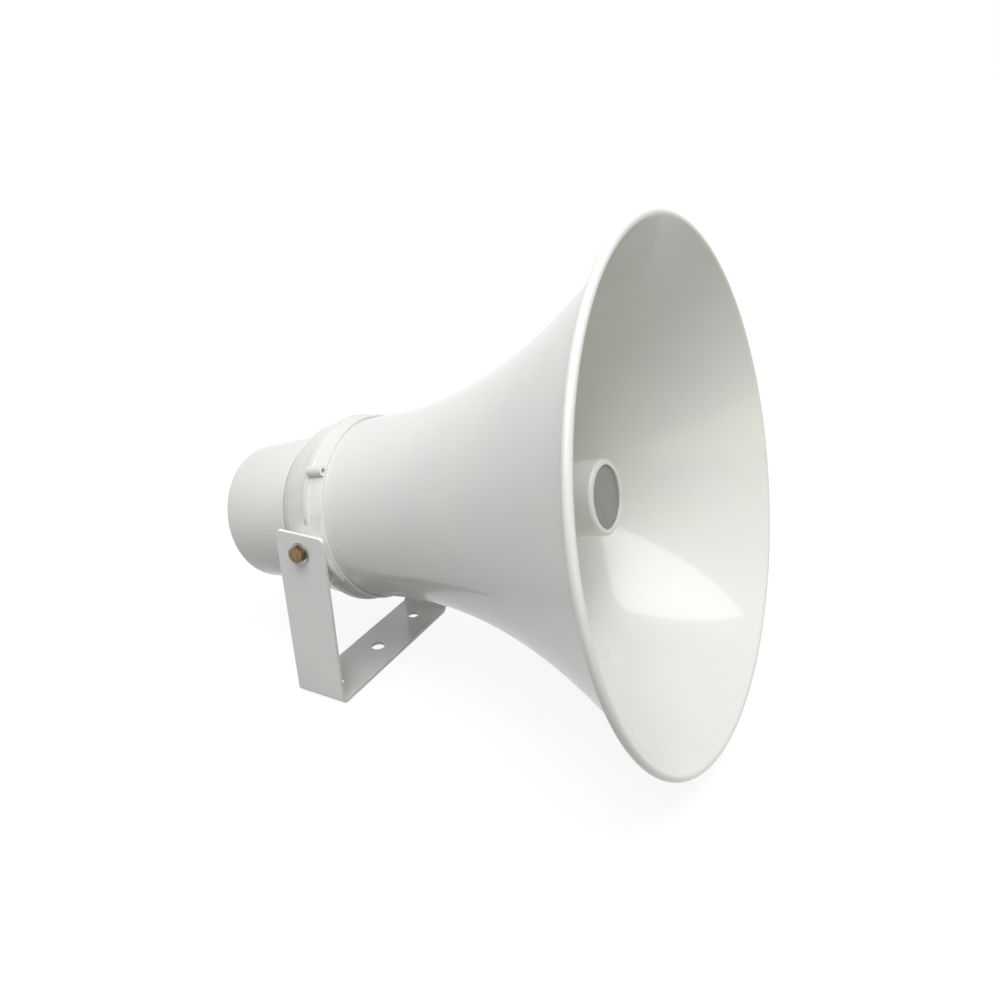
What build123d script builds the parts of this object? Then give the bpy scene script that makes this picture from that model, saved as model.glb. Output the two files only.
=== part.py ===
from build123d import *
import math
import os

# Public-address horn speaker: a folded (reflex) horn with a built-in compression driver,
# carried in a U bracket. All sizes are in millimetres.
#
# Row frame: the origin is the middle of the bracket base's underside, +Z is up, the horn's
# mouth looks towards -Y, and X runs along the tilt pivot.
# Horn frame: the horn and everything inside it are drawn about their own axis, with +Z
# towards the mouth, +Y up, and the origin on that axis in the plane of the tilt pivot.

# Horn mouth and bell sheet
MOUTH_R = 200.0
MOUTH_AHEAD = 307.0
SHEET = 1.5
RIM_ROLL_R = 3.5
RIM_ROLL_SWEEP = 270.0
NECK_R = 78.5
FLARE_POWER = 2.05
FLARE_STATIONS = 9
BELL_FLANGE_WIDTH = 12.5
BELL_FLANGE_BEND = 3.0
NECK_FIT = 0.25

# Base casting, the ring that joins bell, bracket and rear cover
BAND_WALL = 1.8
BAND_FRONT = 26.0
BAND_REBATE = 3.0
BAND_REAR = 11.0
LIP_HEIGHT = 1.5
LIP_WIDTH = 4.0
CONE_SHOULDER_R = 76.5
CONE_SHOULDER_Z = -14.0
CONE_END_Z = -30.0
CASTING_WALL = 3.4
PLATFORM_Z = 6.0
BOWL_INNER_R = 20.0
BOWL_INSET = 3.0
BOWL_DEPTH = 10.0
BOWL_CORNER_R = 7.0
SPIGOT_LENGTH = 7.0
SPIGOT_WALL = 3.0

# Pivot ears on the casting and the small wire lugs beside them
PIVOT_DROP = 4.0
EAR_FACE_X = 84.2
EAR_PAD_HALF = 13.0
EAR_ROOT_HALF = 33.0
EAR_REAR = 9.5
EAR_FRONT_SETBACK = 2.0
EAR_ROOT_X = 60.0
EAR_SHOULDER_X = 74.0
LUG_ANGLES = (43.0, 137.0)
LUG_R = 4.5
LUG_STANDOFF = 2.2
LUG_HOLE_R = 2.1

# Folded inner horn: tone tube, reflector cup and its fixings
THROAT_R = 11.5
TUBE_END_R = 18.5
TUBE_WALL = 2.0
TUBE_FRONT = 221.0
TUBE_STATIONS = 5
TUBE_SPIGOT_R = 15.0
TUBE_FLANGE_R = 19.0
TUBE_FLANGE_T = 3.0
TUBE_FIT = 0.1
TUBE_COLLAR_END = 31.0
HUB_FRONT = 26.0
CUP_REAR_R = 52.0
CUP_REAR_Z = 38.0
CUP_NECK_Z = 195.0
CUP_WALL = 2.2
CUP_STATIONS = 5
BOSS_R = 29.5
BOSS_FRONT = 241.0
BOSS_EDGE_R = 3.0
BOSS_RECESS = 3.0
BOSS_END_WALL = 2.5
DISC_R = 24.4
DISC_T = 1.3
STAY_COUNT = 3
STAY_TURN = 90.0
STAY_INSET = 6.0
STAY_R = 4.0
STAY_PAD_R = 5.5
TAB_R = 6.0
TAB_T = 3.0
STAY_SCREW_BITE = 9.0

# Bell fixing screws
BELL_SCREWS = 6
BELL_SCREW_INSET = 4.5
BELL_SCREW_BITE = 8.0
BELL_SEAL_T = 1.0

# Screw sizes, as shank radius, head radius and head height
M4 = (2.0, 3.6, 2.4)
M5 = (2.5, 4.4, 3.0)
SCREW_CLEARANCE = 0.25
THREAD_CLEARANCE = 0.05
DRIVE_R_SHARE = 0.45
HEAD_ROUND_SHARE = 0.45
DRIVE_DEPTH_SHARE = 0.5

# Compression driver
DRIVER_SEAL_T = 1.0
PLATE_R = 73.0
PLATE_T = 5.0
PLATE_HUB_R = 54.0
PLATE_THROAT_DEPTH = 4.0
SEAT_FIT = 0.2
THROAT_CONE_R = 20.0
PLUG_R = 27.3
PLUG_DEPTH = 5.0
PLUG_WEBS = 3
PLUG_WEB_T = 2.4
PLUG_SLOTS = ((6.5, 8.5), (14.5, 17.0))
DOME_RISE = 5.0
DOME_T = 0.4
DOME_GAP = 0.9
CLAMP_OUTER_R = 40.0
CLAMP_INNER_R = 28.0
CLAMP_T = 3.5
SURROUND_T = 0.4
SURROUND_LAND = 3.0
SURROUND_RISE = 1.6
COIL_R = 21.75
COIL_T = 0.7
COIL_LENGTH = 8.1
COIL_GAP = 0.35
TRAVEL_GAP = 0.3
TOP_PLATE_R = 52.0
TOP_PLATE_T = 8.0
MAGNET_R = 55.0
MAGNET_BORE_R = 30.0
MAGNET_T = 20.0
YOKE_T = 8.0
YOKE_VENT_R = 4.0
DRIVER_SCREWS = 4
DRIVER_SCREW_PITCH_R = 66.5
DRIVER_SCREW_BITE = 9.0
MOTOR_SCREWS = 4
MOTOR_SCREW_PITCH_R = 46.0
MOTOR_SCREW_BITE = 6.0

# Line transformer and terminals behind the driver
CORE_WIDTH = 48.0
CORE_HEIGHT = 40.0
CORE_STACK = 18.0
CORE_LIMB = 8.0
WINDING_WALL = 6.5
WINDING_GAP = 0.4
WINDING_EDGE_R = 3.0
HOLDER_T = 1.5
HOLDER_FOOT = 11.0
HOLDER_WIDTH = 12.0
HOLDER_SCREW_BITE = 5.0
STRIP_LENGTH = 30.0
STRIP_WIDTH = 11.0
STRIP_HEIGHT = 9.0
STRIP_WAYS = 3
STRIP_SCREW_R = 2.2

# Rear cover, its posts and screws
COVER_REAR = 109.0
COVER_REAR_R = 61.5
COVER_FRONT_R = 67.0
COVER_WALL = 2.0
COVER_EDGE_R = 8.0
COVER_SEAL_T = 1.0
COVER_FIT = 0.3
POST_COUNT = 3
POST_PITCH_R = 44.0
POST_FLATS = 8.0
POST_SCREW_BITE = 8.0
POST_TURN = 90.0
TIP_ROOM = 1.0
EDGE_MATCH = 0.01

# Cable gland in the rear cover
GLAND_DROP = 34.0
GLAND_THREAD_R = 8.0
GLAND_FLATS = 22.0
GLAND_FLANGE_T = 5.0
GLAND_NECK = 8.0
GLAND_NUT_T = 4.5
GLAND_NUT_FLATS = 21.0
GLAND_CAP_LENGTH = 12.0
GLAND_CAP_R = 11.0
GLAND_CAP_LIP = 2.0
GLAND_SEAL_R = 5.8
GLAND_CABLE_R = 3.25
GLAND_BORE_R = 4.0
GLAND_INNER_THREAD = 8.0
GLAND_SEAL_STANDOUT = 1.0
GLAND_CAP_GAP = 0.3

# U bracket and pivot hardware
STRAP_T = 3.0
BRACKET_WIDTH = 48.5
PIVOT_HEIGHT = 146.6
LEG_ABOVE_PIVOT = 16.4
LEG_CORNER_R = 4.0
BEND_INNER_R = 4.0
SIDE_CLEARANCE = 0.15
REST_TILT = 12.45
PIVOT_BOLT_R = 4.0
PIVOT_BOLT_LENGTH = 12.0
PIVOT_CLEARANCE = 0.08
PIVOT_HEAD_FLATS = 13.0
PIVOT_HEAD_T = 5.3
PIVOT_HEAD_CHAMFER = 0.6
WASHER_R = 9.0
WASHER_T = 1.6
BASE_HOLE_SPREAD = 62.0
BASE_SIDE_HOLE_R = 5.25
BASE_MIDDLE_HOLE_R = 6.5

# Faces that follow from the sizes above
BELL_FLANGE_INNER_R = NECK_R - BELL_FLANGE_WIDTH
BELL_SCREW_PITCH_R = BELL_FLANGE_INNER_R + BELL_SCREW_INSET
BOWL_OUTER_R = BELL_FLANGE_INNER_R - BOWL_INSET
STAY_PITCH_R = BOWL_OUTER_R - STAY_INSET
BELL_FLANGE_Z = BAND_FRONT - BAND_REBATE
SEAT_Z = BELL_FLANGE_Z - BELL_SEAL_T
BAND_INNER_R = NECK_R + NECK_FIT
BAND_R = BAND_INNER_R + BAND_WALL
LIP_R = BAND_R + LIP_HEIGHT
LIP_REAR = BAND_REAR - LIP_WIDTH
BOWL_FLOOR_Z = SEAT_Z - BOWL_DEPTH
COVER_FRONT = CONE_END_Z - COVER_SEAL_T
SPIGOT_END = CONE_END_Z - SPIGOT_LENGTH
EAR_FRONT = BAND_FRONT - EAR_FRONT_SETBACK
PLATE_FRONT = PLATFORM_Z - DRIVER_SEAL_T
PLATE_REAR = PLATE_FRONT - PLATE_T
PLUG_FRONT = PLATE_FRONT - PLATE_THROAT_DEPTH
PLUG_REAR = PLUG_FRONT - PLUG_DEPTH
CLAMP_REAR = PLUG_REAR - CLAMP_T
TOP_PLATE_FRONT = CLAMP_REAR - SURROUND_T
TOP_PLATE_REAR = TOP_PLATE_FRONT - TOP_PLATE_T
MAGNET_REAR = TOP_PLATE_REAR - MAGNET_T
YOKE_REAR = MAGNET_REAR - YOKE_T
POLE_R = COIL_R - COIL_GAP
COIL_OUTER_R = COIL_R + COIL_T
COIL_FRONT = CLAMP_REAR + TRAVEL_GAP * 2
COVER_INNER_REAR = COVER_WALL - COVER_REAR
TUBE_REAR = PLATFORM_Z
BOSS_FLOOR = BOSS_FRONT - BOSS_RECESS
BOSS_INNER_END = BOSS_FLOOR - BOSS_END_WALL
LEG_INNER_X = EAR_FACE_X + SIDE_CLEARANCE
LEG_OUTER_X = LEG_INNER_X + STRAP_T
WASHER_INNER_X = LEG_OUTER_X + SIDE_CLEARANCE
HEAD_INNER_X = WASHER_INNER_X + WASHER_T
PIVOT_HOLE_R = PIVOT_BOLT_R + PIVOT_CLEARANCE

# Places the horn frame in the row frame
HORN_PLACE = (
    Pos(0, 0, PIVOT_HEIGHT) * Rot(90 - REST_TILT, 0, 0) * Pos(0, PIVOT_DROP, 0)
)


def turned(points, radii=None):
    """A solid turned about the horn axis from (radius, height) corners with rounding radii."""
    corners = [(r, 0, z) for r, z in points]
    if radii is None:
        outline = Polyline(*corners, close=True)
    else:
        outline = FilletPolyline(*corners, radius=radii, close=True)
    return revolve(make_face(outline), Axis.Z)


def tube(outer_r, inner_r, low, high):
    """A plain ring between two heights."""
    return turned([(inner_r, low), (outer_r, low), (outer_r, high), (inner_r, high)])


def rod(radius, low, high, x=0.0, y=0.0):
    """A round bar along the horn axis direction between two heights."""
    centred = (Align.CENTER, Align.CENTER, Align.MIN)
    return Pos(x, y, low) * Cylinder(radius, high - low, align=centred)


def hexagon(flats, low, high, x=0.0, y=0.0):
    """A six-sided bar along the horn axis direction between two heights."""
    outline = RegularPolygon(flats / 2, 6, major_radius=False)
    return Pos(x, y, low) * extrude(outline, high - low)


def ring_places(count, radius, turn=0.0):
    """Evenly spaced (x, y) places on a circle, the first one at the given angle."""
    places = []
    for index in range(count):
        angle = math.radians(turn + index * 360.0 / count)
        places.append((radius * math.cos(angle), radius * math.sin(angle)))
    return places


def drilled(body, places, radius, low, high):
    """The body with a round hole at each place."""
    for x, y in places:
        body -= rod(radius, low, high, x, y)
    return body


def pan_screw(size, seat, tip):
    """A pan-head screw on the horn axis: its head stands on the seat, away from the tip."""
    shank_r, head_r, head_t = size
    outward = 1.0 if seat > tip else -1.0
    top = seat + outward * head_t
    drive = seat + outward * head_t * DRIVE_DEPTH_SHARE
    body = rod(shank_r, min(seat, tip), max(seat, tip))
    head = rod(head_r, min(seat, top), max(seat, top))
    rim = head.edges().filter_by(GeomType.CIRCLE).group_by(Axis.Z)[-1 if outward > 0 else 0]
    head = fillet(rim, head_t * HEAD_ROUND_SHARE)
    socket = hexagon(head_r * DRIVE_R_SHARE * 2, min(drive, top), max(drive, top))
    return body + head - socket


def screws(size, seat, tip, places):
    """The same screw at each place."""
    one = pan_screw(size, seat, tip)
    return [Pos(x, y, 0) * one for x, y in places]


def flare_curve(low, high, radius_at, stations):
    """A smooth curve through evenly spaced stations of a radius law."""
    points = []
    for index in range(stations):
        z = low + (high - low) * index / (stations - 1)
        points.append((radius_at(z), 0, z))
    return Spline(*points)


def bell():
    """The spun sheet bell: inward neck flange, flare and the rolled rim, as one sheet."""
    roll_mid_r = RIM_ROLL_R - SHEET / 2
    roll_centre_r = MOUTH_R - RIM_ROLL_R
    low = BELL_FLANGE_Z + BELL_FLANGE_BEND
    end_tilt = math.atan(FLARE_POWER * (roll_centre_r - NECK_R) / (MOUTH_AHEAD - low))
    lip_r = roll_centre_r - roll_mid_r * math.cos(end_tilt)
    lip_z = MOUTH_AHEAD + roll_mid_r * math.sin(end_tilt)
    neck_mid_r = NECK_R - SHEET / 2
    rise = lip_r - neck_mid_r
    length = lip_z - low

    def slope(share):
        return rise * FLARE_POWER / length * share ** (FLARE_POWER - 1)

    def face_point(share, side):
        tilt = math.atan(slope(share))
        radius = neck_mid_r + rise * share ** FLARE_POWER
        step = side * SHEET / 2
        return (radius + step * math.cos(tilt), 0, low + length * share - step * math.sin(tilt))

    shares = [index / (FLARE_STATIONS - 1) for index in range(FLARE_STATIONS)]
    outer_face = Spline(*[face_point(share, 1) for share in shares])
    inner_face = Spline(*[face_point(share, -1) for share in shares])
    end_tilt = math.atan(slope(1.0))
    centre_r = lip_r + roll_mid_r * math.cos(end_tilt)
    centre_z = lip_z - roll_mid_r * math.sin(end_tilt)

    def roll_arc(radius):
        points = []
        for share in (0.0, 0.5, 1.0):
            angle = -math.radians(RIM_ROLL_SWEEP * share) - end_tilt
            points.append(
                (centre_r - radius * math.cos(angle), 0, centre_z - radius * math.sin(angle))
            )
        return ThreePointArc(*points)

    roll_out = roll_arc(RIM_ROLL_R)
    roll_in = roll_arc(RIM_ROLL_R - SHEET)
    bend_r = NECK_R - BELL_FLANGE_BEND
    mitre = math.sqrt(0.5)
    outer_bend = ThreePointArc(
        (bend_r, 0, BELL_FLANGE_Z),
        (bend_r + BELL_FLANGE_BEND * mitre, 0, low - BELL_FLANGE_BEND * mitre),
        outer_face @ 0,
    )
    inner_bend_r = BELL_FLANGE_BEND - SHEET
    inner_bend = ThreePointArc(
        (bend_r, 0, BELL_FLANGE_Z + SHEET),
        (bend_r + inner_bend_r * mitre, 0, low - inner_bend_r * mitre),
        inner_face @ 0,
    )
    flange_back = Line((BELL_FLANGE_INNER_R, 0, BELL_FLANGE_Z), outer_bend @ 0)
    flange_front = Line((BELL_FLANGE_INNER_R, 0, BELL_FLANGE_Z + SHEET), inner_bend @ 0)
    outline = [flange_back, outer_bend, outer_face, roll_in, Line(roll_in @ 1, roll_out @ 1)]
    outline += [roll_out, inner_face, inner_bend, flange_front]
    outline += [Line(flange_back @ 0, flange_front @ 0)]
    sheet = revolve(make_face(Wire.combine(outline)[0]), Axis.Z)
    return drilled(
        sheet,
        ring_places(BELL_SCREWS, BELL_SCREW_PITCH_R),
        M4[0] + SCREW_CLEARANCE,
        BELL_FLANGE_Z - SHEET,
        low,
    )


def base_casting():
    """The die-cast base: bell seat, fold bowl, pivot ears, wire lugs and cover spigot."""
    outside = turned(
        [
            (0, SPIGOT_END),
            (cover_inner_r(SPIGOT_END) - COVER_FIT, SPIGOT_END),
            (cover_inner_r(COVER_FRONT) - COVER_FIT, CONE_END_Z),
            (COVER_FRONT_R, CONE_END_Z),
            (CONE_SHOULDER_R, CONE_SHOULDER_Z),
            (BAND_R, LIP_REAR),
            (LIP_R, LIP_REAR),
            (LIP_R, BAND_REAR),
            (BAND_R, BAND_REAR),
            (BAND_R, BAND_FRONT),
            (BAND_INNER_R, BAND_FRONT),
            (BAND_INNER_R, SEAT_Z),
            (0, SEAT_Z),
        ]
    )
    spigot_inner_r = cover_inner_r(SPIGOT_END) - COVER_FIT - SPIGOT_WALL
    driver_room = turned(
        [
            (0, SPIGOT_END),
            (spigot_inner_r, SPIGOT_END),
            (spigot_inner_r, CONE_END_Z),
            (CONE_SHOULDER_R - CASTING_WALL, CONE_SHOULDER_Z),
            (BAND_R - CASTING_WALL, PLATFORM_Z),
            (0, PLATFORM_Z),
        ]
    )
    bowl = turned(
        [
            (BOWL_INNER_R, BOWL_FLOOR_Z),
            (BOWL_OUTER_R, BOWL_FLOOR_Z),
            (BOWL_OUTER_R, SEAT_Z),
            (BOWL_INNER_R, SEAT_Z),
        ],
        [BOWL_CORNER_R, BOWL_CORNER_R, 0, 0],
    )
    body = outside
    for side in (-1, 1):
        body += pivot_ear(side)
    for angle in LUG_ANGLES:
        x, y = polar(BAND_R + LUG_STANDOFF, angle)
        body += rod(LUG_R, BAND_REAR, BAND_FRONT, x, y)
        body -= rod(LUG_HOLE_R, LIP_REAR, BAND_FRONT, x, y)
    neck_room = rod(BAND_INNER_R, SEAT_Z, BAND_FRONT)
    body = body - driver_room - bowl - neck_room
    stays = ring_places(STAY_COUNT, STAY_PITCH_R, STAY_TURN)
    for x, y in stays:
        body += rod(STAY_PAD_R, PLATFORM_Z, SEAT_Z, x, y)
    body += rod(BOWL_INNER_R, PLATFORM_Z, HUB_FRONT)
    body -= rod(TUBE_SPIGOT_R + TUBE_FIT, PLATFORM_Z, HUB_FRONT)
    body -= rod(TUBE_FLANGE_R + TUBE_FIT, PLATFORM_Z, PLATFORM_Z + TUBE_FLANGE_T)
    stay_hole_r = M4[0] + THREAD_CLEARANCE
    body = drilled(body, stays, stay_hole_r, SEAT_Z - STAY_SCREW_BITE, SEAT_Z)
    bell_places = ring_places(BELL_SCREWS, BELL_SCREW_PITCH_R)
    body = drilled(body, bell_places, stay_hole_r, SEAT_Z - BELL_SCREW_BITE, SEAT_Z)
    driver_hole_r = M5[0] + THREAD_CLEARANCE
    driver_top = PLATFORM_Z + DRIVER_SCREW_BITE
    body = drilled(body, driver_screw_places(), driver_hole_r, PLATFORM_Z, driver_top)
    hole_end_x = HEAD_INNER_X - PIVOT_BOLT_LENGTH - SIDE_CLEARANCE
    for side in (-1, 1):
        hole = rod(PIVOT_BOLT_R + THREAD_CLEARANCE, hole_end_x, EAR_FACE_X)
        body -= Pos(0, -PIVOT_DROP, 0) * Rot(0, side * 90, 0) * hole
    return body


def polar(radius, angle):
    """The (x, y) place at a radius and an angle in degrees."""
    turn = math.radians(angle)
    return (radius * math.cos(turn), radius * math.sin(turn))


def driver_screw_places():
    """The four places of the screws that hold the driver to the casting."""
    return ring_places(DRIVER_SCREWS, DRIVER_SCREW_PITCH_R, 180.0 / DRIVER_SCREWS)


def motor_screw_places():
    """The four places of the screws that hold the magnet motor to the driver plate."""
    return ring_places(MOTOR_SCREWS, MOTOR_SCREW_PITCH_R, 180.0 / MOTOR_SCREWS)


def post_places():
    """The places of the posts that carry the rear cover."""
    return ring_places(POST_COUNT, POST_PITCH_R, POST_TURN)


def cover_inner_r(z):
    """The inside radius of the tapering rear cover at a height."""
    share = (z - COVER_FRONT) / (-COVER_REAR - COVER_FRONT)
    return COVER_FRONT_R + (COVER_REAR_R - COVER_FRONT_R) * share - COVER_WALL


def pivot_ear(side):
    """A gusset on the ring whose flat face meets the bracket leg; side is -1 or 1."""
    front_view = Polyline(
        (EAR_ROOT_X, -EAR_ROOT_HALF),
        (EAR_SHOULDER_X, -EAR_ROOT_HALF),
        (EAR_FACE_X, -EAR_PAD_HALF),
        (EAR_FACE_X, EAR_PAD_HALF),
        (EAR_SHOULDER_X, EAR_ROOT_HALF),
        (EAR_ROOT_X, EAR_ROOT_HALF),
        close=True,
    )
    side_view = Polyline(
        (0, -EAR_ROOT_HALF, EAR_FRONT),
        (0, -EAR_ROOT_HALF, BAND_REAR),
        (0, -EAR_PAD_HALF, -EAR_REAR),
        (0, EAR_PAD_HALF, -EAR_REAR),
        (0, EAR_ROOT_HALF, BAND_REAR),
        (0, EAR_ROOT_HALF, EAR_FRONT),
        close=True,
    )
    across = Pos(0, 0, -EAR_REAR) * extrude(make_face(front_view), EAR_REAR + EAR_FRONT)
    along = extrude(make_face(side_view), EAR_FACE_X, dir=(1, 0, 0))
    ear = Pos(0, -PIVOT_DROP, 0) * (across & along)
    if side < 0:
        ear = mirror(ear, Plane.YZ)
    return ear


def throat_tube():
    """The tone tube: a slowly widening passage from the driver to the reflector's end."""
    growth = math.log(TUBE_END_R / THROAT_R) / (TUBE_FRONT - TUBE_REAR)

    def bore_r(z):
        return THROAT_R * math.exp(growth * (z - TUBE_REAR))

    def outer_r(z):
        return bore_r(z) + TUBE_WALL

    bore = flare_curve(TUBE_REAR, TUBE_FRONT, bore_r, TUBE_STATIONS)
    outer = flare_curve(TUBE_COLLAR_END, TUBE_FRONT, outer_r, TUBE_STATIONS)
    flange_top = TUBE_REAR + TUBE_FLANGE_T
    collar = Polyline(
        bore @ 0,
        (TUBE_FLANGE_R, 0, TUBE_REAR),
        (TUBE_FLANGE_R, 0, flange_top),
        (TUBE_SPIGOT_R, 0, flange_top),
        (TUBE_SPIGOT_R, 0, HUB_FRONT),
        outer @ 0,
    )
    outline = [bore, collar, outer, Line(outer @ 1, bore @ 1)]
    return revolve(make_face(Wire.combine(outline)[0]), Axis.Z)


def reflector_cup():
    """The reflector: a cup open to the rear whose closed front end turns the sound back."""
    reach = CUP_NECK_Z - CUP_REAR_Z

    def outer_r(z):
        share = (CUP_NECK_Z - z) / reach
        return BOSS_R + (CUP_REAR_R - BOSS_R) * share ** 2

    def inner_r(z):
        return outer_r(z) - CUP_WALL

    turn_r = (BOSS_R - CUP_WALL) / 2
    turn_low = BOSS_INNER_END - turn_r
    outer = flare_curve(CUP_REAR_Z, CUP_NECK_Z, outer_r, CUP_STATIONS)
    inner = flare_curve(CUP_REAR_Z, CUP_NECK_Z, inner_r, CUP_STATIONS)
    boss = Polyline(
        outer @ 1,
        (BOSS_R, 0, BOSS_FRONT),
        (DISC_R + SEAT_FIT, 0, BOSS_FRONT),
        (DISC_R + SEAT_FIT, 0, BOSS_FLOOR),
        (0, 0, BOSS_FLOOR),
        (0, 0, turn_low),
    )
    turn = ThreePointArc((0, 0, turn_low), (turn_r, 0, BOSS_INNER_END), (turn_r * 2, 0, turn_low))
    inner_wall = Line(turn @ 1, inner @ 1)
    rear_edge = Line(inner @ 0, outer @ 0)
    wall = Wire.combine([outer, boss, turn, inner_wall, inner, rear_edge])[0]
    cup = revolve(make_face(wall), Axis.Z)
    room = Wire.combine(
        [inner, Polyline(inner @ 1, (0, 0, CUP_NECK_Z), (0, 0, CUP_REAR_Z), inner @ 0)]
    )[0]
    hollow = revolve(make_face(room), Axis.Z)
    tab = rod(TAB_R, CUP_REAR_Z, CUP_REAR_Z + TAB_T, STAY_PITCH_R)
    tab_root = (Align.MAX, Align.CENTER, Align.MIN)
    root_length = STAY_PITCH_R - CUP_REAR_R + CUP_WALL * 2
    tab += Pos(STAY_PITCH_R, 0, CUP_REAR_Z) * Box(root_length, TAB_R * 2, TAB_T, align=tab_root)
    tab = tab - hollow
    for index in range(STAY_COUNT):
        cup += Rot(0, 0, STAY_TURN + index * 360 / STAY_COUNT) * tab
    top_edge = cup.edges().filter_by(GeomType.CIRCLE).filter_by(
        lambda edge: abs(edge.radius - BOSS_R) < EDGE_MATCH
        and abs(edge.center().Z - BOSS_FRONT) < EDGE_MATCH
    )
    cup = fillet(top_edge, BOSS_EDGE_R)
    stays = ring_places(STAY_COUNT, STAY_PITCH_R, STAY_TURN)
    return drilled(cup, stays, M4[0] + SCREW_CLEARANCE, CUP_REAR_Z, CUP_REAR_Z + TAB_T)


def driver_plate():
    """The driver's front plate with the throat cone and the seats of plug and clamp ring."""
    plate = turned(
        [
            (THROAT_R, PLATE_FRONT),
            (PLATE_R, PLATE_FRONT),
            (PLATE_R, PLATE_REAR),
            (PLATE_HUB_R, PLATE_REAR),
            (PLATE_HUB_R, TOP_PLATE_FRONT),
            (CLAMP_OUTER_R + SEAT_FIT, TOP_PLATE_FRONT),
            (CLAMP_OUTER_R + SEAT_FIT, PLUG_REAR),
            (PLUG_R + SEAT_FIT, PLUG_REAR),
            (PLUG_R + SEAT_FIT, PLUG_FRONT),
            (THROAT_CONE_R, PLUG_FRONT),
        ]
    )
    shank_r, head_r, head_t = M4
    places = motor_screw_places()
    plate = drilled(plate, places, shank_r + SCREW_CLEARANCE, TOP_PLATE_FRONT, PLATE_FRONT)
    head_seat = PLATE_FRONT - head_t - SCREW_CLEARANCE
    plate = drilled(plate, places, head_r + SCREW_CLEARANCE, head_seat, PLATE_FRONT)
    screw_r = M5[0] + SCREW_CLEARANCE
    return drilled(plate, driver_screw_places(), screw_r, PLATE_REAR, PLATE_FRONT)


def dome_arc(edge_r, edge_z, top_z):
    """A circular arc from a dome's edge to its top on the axis."""
    rise = top_z - edge_z
    ball_r = (edge_r ** 2 + rise ** 2) / (2 * rise)
    middle_r = edge_r / 2
    middle_z = top_z - ball_r + math.sqrt(ball_r ** 2 - middle_r ** 2)
    return ThreePointArc((edge_r, 0, edge_z), (middle_r, 0, middle_z), (0, 0, top_z))


def phase_plug():
    """The slotted plug that leads sound from all over the dome into the throat."""
    top_z = COIL_FRONT + DOME_RISE + DOME_GAP
    dish_arc = dome_arc(COIL_OUTER_R, COIL_FRONT + DOME_GAP, top_z)
    walls = Polyline(dish_arc @ 1, (0, 0, COIL_FRONT + DOME_GAP), dish_arc @ 0)
    dish = revolve(make_face(Wire.combine([dish_arc, walls])[0]), Axis.Z)
    plug = rod(PLUG_R, PLUG_REAR, PLUG_FRONT) - dish
    webs = []
    for index in range(PLUG_WEBS):
        web = Pos(PLUG_R / 2, 0, PLUG_REAR) * Box(
            PLUG_R, PLUG_WEB_T, PLUG_DEPTH, align=(Align.CENTER, Align.CENTER, Align.MIN)
        )
        webs.append(Rot(0, 0, index * 360 / PLUG_WEBS) * web)
    for slot_in, slot_out in PLUG_SLOTS:
        slot = tube(slot_out, slot_in, PLUG_REAR, PLUG_FRONT)
        for web in webs:
            slot -= web
        plug -= slot
    return plug


def diaphragm():
    """The thin dome that makes the sound."""
    top_z = COIL_FRONT + DOME_RISE
    outer = dome_arc(COIL_OUTER_R, COIL_FRONT, top_z)
    inner = dome_arc(COIL_R, COIL_FRONT, top_z - DOME_T)
    outline = [outer, Line(outer @ 1, inner @ 1), inner, Line(inner @ 0, outer @ 0)]
    return revolve(make_face(Wire.combine(outline)[0]), Axis.Z)


def surround():
    """The half-roll that hangs between the clamp ring and the coil, a running gap away."""
    low_r = COIL_OUTER_R + TRAVEL_GAP
    high_r = CLAMP_INNER_R
    land_r = CLAMP_INNER_R + SURROUND_LAND
    middle_r = (low_r + high_r) / 2
    crest = CLAMP_REAR + SURROUND_RISE
    front = ThreePointArc((low_r, 0, CLAMP_REAR), (middle_r, 0, crest), (high_r, 0, CLAMP_REAR))
    back = ThreePointArc(
        (low_r, 0, TOP_PLATE_FRONT),
        (middle_r, 0, crest - SURROUND_T),
        (high_r, 0, TOP_PLATE_FRONT),
    )
    land = Polyline(
        front @ 1, (land_r, 0, CLAMP_REAR), (land_r, 0, TOP_PLATE_FRONT), back @ 1
    )
    outline = [front, land, back, Line(back @ 0, front @ 0)]
    return revolve(make_face(Wire.combine(outline)[0]), Axis.Z)


def top_plate():
    """The front pole plate around the coil gap."""
    plate = tube(TOP_PLATE_R, COIL_OUTER_R + COIL_GAP, TOP_PLATE_REAR, TOP_PLATE_FRONT)
    low = TOP_PLATE_FRONT - MOTOR_SCREW_BITE
    screw_r = M4[0] + THREAD_CLEARANCE
    return drilled(plate, motor_screw_places(), screw_r, low, TOP_PLATE_FRONT)


def yoke():
    """The back plate and centre pole, turned in one piece, with its vent and tapped holes."""
    body = turned(
        [
            (YOKE_VENT_R, YOKE_REAR),
            (TOP_PLATE_R, YOKE_REAR),
            (TOP_PLATE_R, MAGNET_REAR),
            (POLE_R, MAGNET_REAR),
            (POLE_R, TOP_PLATE_FRONT),
            (YOKE_VENT_R, TOP_PLATE_FRONT),
        ]
    )
    screw_r = M4[0] + THREAD_CLEARANCE
    top = YOKE_REAR + HOLDER_SCREW_BITE
    return drilled(body, post_places() + holder_screw_places(), screw_r, YOKE_REAR, top)


def holder_screw_places():
    """The two places of the screws in the transformer holder's feet."""
    reach = CORE_WIDTH / 2 + HOLDER_T + HOLDER_FOOT / 2
    return [(-reach, 0), (reach, 0)]


def upright_box(width, depth, low, high):
    """A block centred on the horn axis between two heights."""
    centred = (Align.CENTER, Align.CENTER, Align.MIN)
    return Pos(0, 0, low) * Box(width, depth, high - low, align=centred)


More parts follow.
